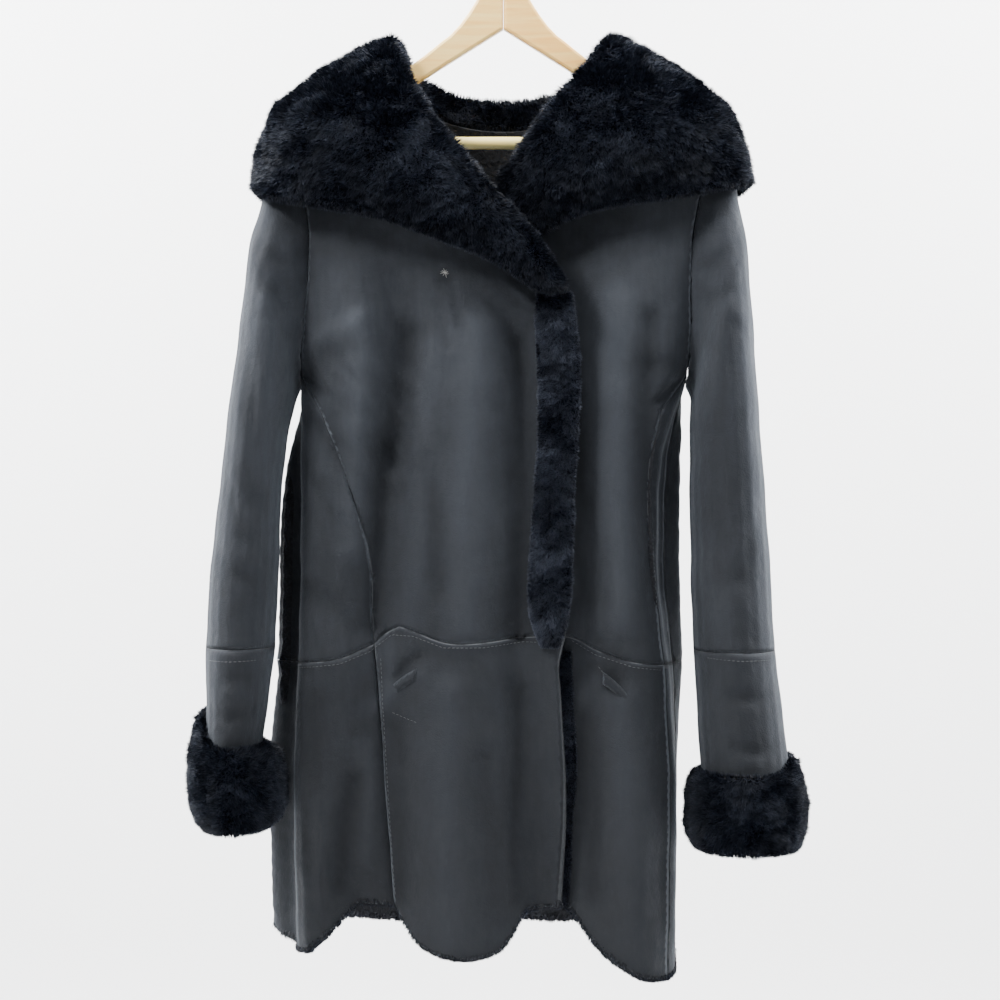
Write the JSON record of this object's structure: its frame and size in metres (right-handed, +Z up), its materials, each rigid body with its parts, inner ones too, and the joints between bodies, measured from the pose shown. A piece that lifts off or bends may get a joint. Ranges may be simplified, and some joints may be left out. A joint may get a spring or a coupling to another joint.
{
  "type": "shearling coat on wooden hanger",
  "caption": "Women's long shearling coat with a wide fur shawl collar, fur front band and turned-back fur cuffs, hung open-necked on a plain wooden hanger.",
  "frame": {"origin": "where the hook rests on the rail, at the inside top of the hook", "axes": "+X to the right of a viewer who faces the front of the coat, +Y from the front to the back, +Z up"},
  "size_m": [0.629, 0.2177, 1.0822],
  "materials": {
    "suede": "napped suede, dark slate",
    "fur": "dense clipped fur, near-black navy",
    "wood_pale": "clear-lacquered pale wood",
    "wood_warm": "clear-lacquered warmer wood",
    "hook_metal": "bright plated wire"
  },
  "bodies": {
    "root": {"front_left_upper": "suede", "front_left_lower": "suede", "side_front_left_upper": "suede", "side_front_left_lower": "suede", "front_right_upper": "suede", "front_right_lower": "suede", "side_front_right_upper": "suede", "side_front_right_lower": "suede", "back_upper": "suede", "back_lower": "suede", "pocket_welt_left": "suede", "pocket_welt_right": "suede", "sleeve_left_upper_front": "suede", "sleeve_left_upper_back": "suede", "sleeve_left_lower_front": "suede", "sleeve_left_lower_back": "suede", "sleeve_right_upper_front": "suede", "sleeve_right_upper_back": "suede", "sleeve_right_lower_front": "suede", "sleeve_right_lower_back": "suede", "front_band": "fur", "edge_strip_right": "fur", "cuff_left_front": "fur", "cuff_left_back": "fur", "cuff_right_front": "fur", "cuff_right_back": "fur", "collar_left": "fur", "collar_right": "fur", "hanger_arm_left": "wood_pale", "hanger_arm_right": "wood_warm", "hanger_bar": "wood_pale", "hook": "hook_metal", "hook_ferrule": "hook_metal"}
  },
  "joints": []
}
